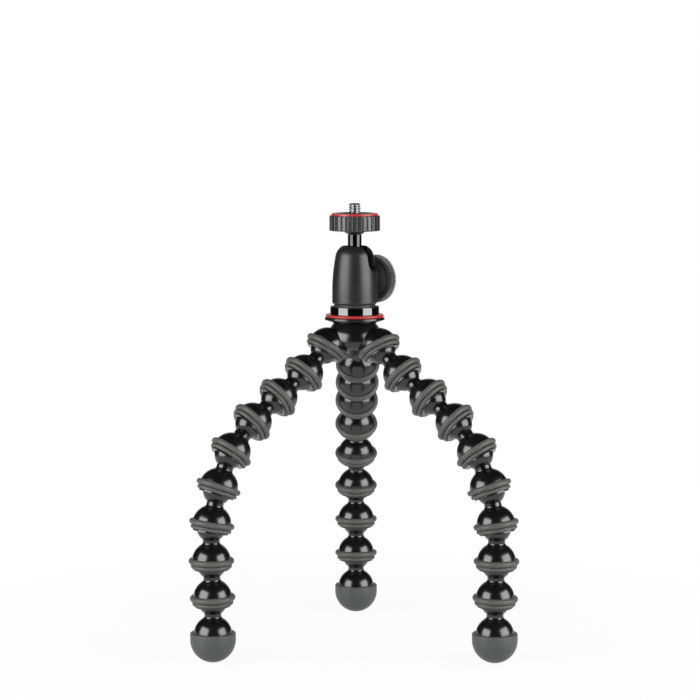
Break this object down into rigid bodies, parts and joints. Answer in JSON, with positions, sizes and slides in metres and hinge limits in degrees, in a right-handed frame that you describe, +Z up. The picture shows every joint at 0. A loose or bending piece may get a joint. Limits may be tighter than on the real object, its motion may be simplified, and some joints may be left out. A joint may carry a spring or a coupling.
{
  "type": "flexible leg tripod",
  "caption": "Small camera tripod with bendable ball-and-socket legs on rubber feet and a ball head with a lock knob, a drop notch and a ribbed camera dial.",
  "frame": {"origin": "on the floor, at the centre of the bounding box seen from above; the head's axis lies 21 mm in front of it", "axes": "+Z up along the head's axis, +Y along the rear leg, +X to the right of someone facing the front pair of legs"},
  "size_m": [0.17, 0.1504, 0.2345],
  "materials": {
    "gloss_plastic": "polished",
    "rubber": "matte",
    "pad_rubber": "matte",
    "red_plastic": "glossy",
    "steel": "machined",
    "black_metal": "glossy black",
    "satin_metal": "satin black anodised",
    "stem_metal": "polished black",
    "seat_plastic": "matte",
    "dial_plastic": "satin"
  },
  "bodies": {
    "stand": {"hub": "gloss_plastic", "hub_rings": "rubber", "top_plate": "gloss_plastic", "accent_ring": "red_plastic", "stand_stud": "steel", "head_base": "black_metal", "head_housing": "satin_metal"},
    "left_leg_link_1": {"left_leg_link_1": "gloss_plastic"},
    "left_leg_link_2": {"left_leg_link_2": "gloss_plastic"},
    "left_leg_link_3": {"left_leg_link_3": "gloss_plastic"},
    "left_leg_link_4": {"left_leg_link_4": "gloss_plastic"},
    "left_leg_link_5": {"left_leg_link_5": "gloss_plastic"},
    "left_leg_link_6": {"left_leg_link_6": "gloss_plastic"},
    "left_leg_link_7": {"left_leg_link_7": "gloss_plastic"},
    "left_leg_link_8": {"left_leg_link_8": "gloss_plastic"},
    "left_leg_foot": {"left_leg_foot_link": "gloss_plastic", "left_leg_foot": "rubber"},
    "right_leg_link_1": {"right_leg_link_1": "gloss_plastic"},
    "right_leg_link_2": {"right_leg_link_2": "gloss_plastic"},
    "right_leg_link_3": {"right_leg_link_3": "gloss_plastic"},
    "right_leg_link_4": {"right_leg_link_4": "gloss_plastic"},
    "right_leg_link_5": {"right_leg_link_5": "gloss_plastic"},
    "right_leg_link_6": {"right_leg_link_6": "gloss_plastic"},
    "right_leg_link_7": {"right_leg_link_7": "gloss_plastic"},
    "right_leg_link_8": {"right_leg_link_8": "gloss_plastic"},
    "right_leg_foot": {"right_leg_foot_link": "gloss_plastic", "right_leg_foot": "rubber"},
    "rear_leg_link_1": {"rear_leg_link_1": "gloss_plastic"},
    "rear_leg_link_2": {"rear_leg_link_2": "gloss_plastic"},
    "rear_leg_link_3": {"rear_leg_link_3": "gloss_plastic"},
    "rear_leg_link_4": {"rear_leg_link_4": "gloss_plastic"},
    "rear_leg_link_5": {"rear_leg_link_5": "gloss_plastic"},
    "rear_leg_link_6": {"rear_leg_link_6": "gloss_plastic"},
    "rear_leg_link_7": {"rear_leg_link_7": "gloss_plastic"},
    "rear_leg_link_8": {"rear_leg_link_8": "gloss_plastic"},
    "rear_leg_foot": {"rear_leg_foot_link": "gloss_plastic", "rear_leg_foot": "rubber"},
    "ball": {"ball_stem": "stem_metal"},
    "dial": {"camera_dial": "dial_plastic", "dial_ring": "red_plastic", "dial_pad": "pad_rubber", "camera_screw": "steel"},
    "knob": {"lock_knob": "gloss_plastic", "knob_grip": "rubber", "lock_screw": "steel"},
    "seat": {"ball_seat": "seat_plastic"}
  },
  "joints": [
    {"name": "left_leg_bend_1", "type": "hinge", "parent": "stand", "child": "left_leg_link_1", "pos_m": [-0.01547, -0.0282, 0.15824], "axis": [-0.5209, 0.8536, 0], "range_deg": [-43, 17]},
    {"name": "left_leg_sway_2", "type": "hinge", "parent": "left_leg_link_1", "child": "left_leg_link_2", "pos_m": [-0.02752, -0.03555, 0.14508], "axis": [-0.5017, -0.3062, 0.809], "range_deg": [-30, 30]},
    {"name": "left_leg_bend_3", "type": "hinge", "parent": "left_leg_link_2", "child": "left_leg_link_3", "pos_m": [-0.04085, -0.04368, 0.13373], "axis": [-0.5209, 0.8536, 0], "range_deg": [-28, 32]},
    {"name": "left_leg_sway_4", "type": "hinge", "parent": "left_leg_link_3", "child": "left_leg_link_4", "pos_m": [-0.05383, -0.0516, 0.12185], "axis": [-0.6634, -0.4048, 0.6293], "range_deg": [-30, 30]},
    {"name": "left_leg_bend_5", "type": "hinge", "parent": "left_leg_link_4", "child": "left_leg_link_5", "pos_m": [-0.0642, -0.05793, 0.10685], "axis": [-0.5209, 0.8536, 0], "range_deg": [-12, 48]},
    {"name": "left_leg_sway_6", "type": "hinge", "parent": "left_leg_link_5", "child": "left_leg_link_6", "pos_m": [-0.0701, -0.06153, 0.08883], "axis": [-0.8379, -0.5113, 0.1908], "range_deg": [-30, 30]},
    {"name": "left_leg_bend_7", "type": "hinge", "parent": "left_leg_link_6", "child": "left_leg_link_7", "pos_m": [-0.07324, -0.06345, 0.06989], "axis": [-0.5209, 0.8536, 0], "range_deg": [-19, 41]},
    {"name": "left_leg_sway_8", "type": "hinge", "parent": "left_leg_link_7", "child": "left_leg_link_8", "pos_m": [-0.07324, -0.06345, 0.05059], "axis": [-0.8531, -0.5206, -0.0349], "range_deg": [-30, 30]},
    {"name": "left_leg_bend_9", "type": "hinge", "parent": "left_leg_link_8", "child": "left_leg_foot", "pos_m": [-0.07267, -0.0631, 0.0313], "axis": [-0.5209, 0.8536, 0], "range_deg": [-32, 28]},
    {"name": "right_leg_bend_1", "type": "hinge", "parent": "stand", "child": "right_leg_link_1", "pos_m": [0.01384, -0.03102, 0.15824], "axis": [-0.4788, -0.8779, 0], "range_deg": [-43, 17]},
    {"name": "right_leg_sway_2", "type": "hinge", "parent": "right_leg_link_1", "child": "right_leg_link_2", "pos_m": [0.02623, -0.03778, 0.14508], "axis": [0.516, -0.2814, 0.809], "range_deg": [-30, 30]},
    {"name": "right_leg_bend_3", "type": "hinge", "parent": "right_leg_link_2", "child": "right_leg_link_3", "pos_m": [0.03994, -0.04525, 0.13373], "axis": [-0.4788, -0.8779, 0], "range_deg": [-28, 32]},
    {"name": "right_leg_sway_4", "type": "hinge", "parent": "right_leg_link_3", "child": "right_leg_link_4", "pos_m": [0.05329, -0.05253, 0.12185], "axis": [0.6823, -0.3721, 0.6293], "range_deg": [-30, 30]},
    {"name": "right_leg_bend_5", "type": "hinge", "parent": "right_leg_link_4", "child": "right_leg_link_5", "pos_m": [0.06395, -0.05835, 0.10685], "axis": [-0.4788, -0.8779, 0], "range_deg": [-12, 48]},
    {"name": "right_leg_sway_6", "type": "hinge", "parent": "right_leg_link_5", "child": "right_leg_link_6", "pos_m": [0.07003, -0.06166, 0.08883], "axis": [0.8618, -0.47, 0.1908], "range_deg": [-30, 30]},
    {"name": "right_leg_bend_7", "type": "hinge", "parent": "right_leg_link_6", "child": "right_leg_link_7", "pos_m": [0.07326, -0.06342, 0.06989], "axis": [-0.4788, -0.8779, 0], "range_deg": [-19, 41]},
    {"name": "right_leg_sway_8", "type": "hinge", "parent": "right_leg_link_7", "child": "right_leg_link_8", "pos_m": [0.07326, -0.06342, 0.05059], "axis": [0.8774, -0.4785, -0.0349], "range_deg": [-30, 30]},
    {"name": "right_leg_bend_9", "type": "hinge", "parent": "right_leg_link_8", "child": "right_leg_foot", "pos_m": [0.07267, -0.0631, 0.0313], "axis": [-0.4788, -0.8779, 0], "range_deg": [-32, 28]},
    {"name": "rear_leg_bend_1", "type": "hinge", "parent": "stand", "child": "rear_leg_link_1", "pos_m": [0.00163, -0.00422, 0.15824], "axis": [0.9997, 0.0243, 0], "range_deg": [-43, 17]},
    {"name": "rear_leg_sway_2", "type": "hinge", "parent": "rear_leg_link_1", "child": "rear_leg_link_2", "pos_m": [0.00129, 0.00989, 0.14508], "axis": [-0.0143, 0.5876, 0.809], "range_deg": [-30, 30]},
    {"name": "rear_leg_bend_3", "type": "hinge", "parent": "rear_leg_link_2", "child": "rear_leg_link_3", "pos_m": [0.00091, 0.0255, 0.13373], "axis": [0.9997, 0.0243, 0], "range_deg": [-28, 32]},
    {"name": "rear_leg_sway_4", "type": "hinge", "parent": "rear_leg_link_3", "child": "rear_leg_link_4", "pos_m": [0.00054, 0.0407, 0.12185], "axis": [-0.0189, 0.7769, 0.6293], "range_deg": [-30, 30]},
    {"name": "rear_leg_bend_5", "type": "hinge", "parent": "rear_leg_link_4", "child": "rear_leg_link_5", "pos_m": [0.00024, 0.05284, 0.10685], "axis": [0.9997, 0.0243, 0], "range_deg": [-12, 48]},
    {"name": "rear_leg_sway_6", "type": "hinge", "parent": "rear_leg_link_5", "child": "rear_leg_link_6", "pos_m": [0.00007, 0.05976, 0.08883], "axis": [-0.0239, 0.9813, 0.1908], "range_deg": [-30, 30]},
    {"name": "rear_leg_bend_7", "type": "hinge", "parent": "rear_leg_link_6", "child": "rear_leg_link_7", "pos_m": [-0.00002, 0.06344, 0.06989], "axis": [0.9997, 0.0243, 0], "range_deg": [-19, 41]},
    {"name": "rear_leg_sway_8", "type": "hinge", "parent": "rear_leg_link_7", "child": "rear_leg_link_8", "pos_m": [-0.00002, 0.06344, 0.05059], "axis": [-0.0243, 0.9991, -0.0349], "range_deg": [-30, 30]},
    {"name": "rear_leg_bend_9", "type": "hinge", "parent": "rear_leg_link_8", "child": "rear_leg_foot", "pos_m": [0, 0.06277, 0.0313], "axis": [0.9997, 0.0243, 0], "range_deg": [-32, 28]},
    {"name": "ball_tilt", "type": "hinge", "parent": "stand", "child": "ball", "pos_m": [0, -0.02115, 0.20314], "axis": [0.342, 0.9397, 0], "range_deg": [-15, 90]},
    {"name": "dial_turn", "type": "hinge", "parent": "ball", "child": "dial", "pos_m": [0, -0.02115, 0.21804], "axis": [0, 0, 1], "continuous": true},
    {"name": "knob_turn", "type": "hinge", "parent": "stand", "child": "knob", "pos_m": [0, -0.02115, 0.19394], "axis": [0.6018, 0.7986, 0], "range_deg": [0, 360]},
    {"name": "seat_slide", "type": "slide", "parent": "stand", "child": "seat", "axis": [0, 0, 1], "range_m": [-0.0004, 0]}
  ],
  "couplings": [
    {"joint": "seat_slide", "follows": "knob_turn", "m_per_rad": -0.000063662}
  ]
}
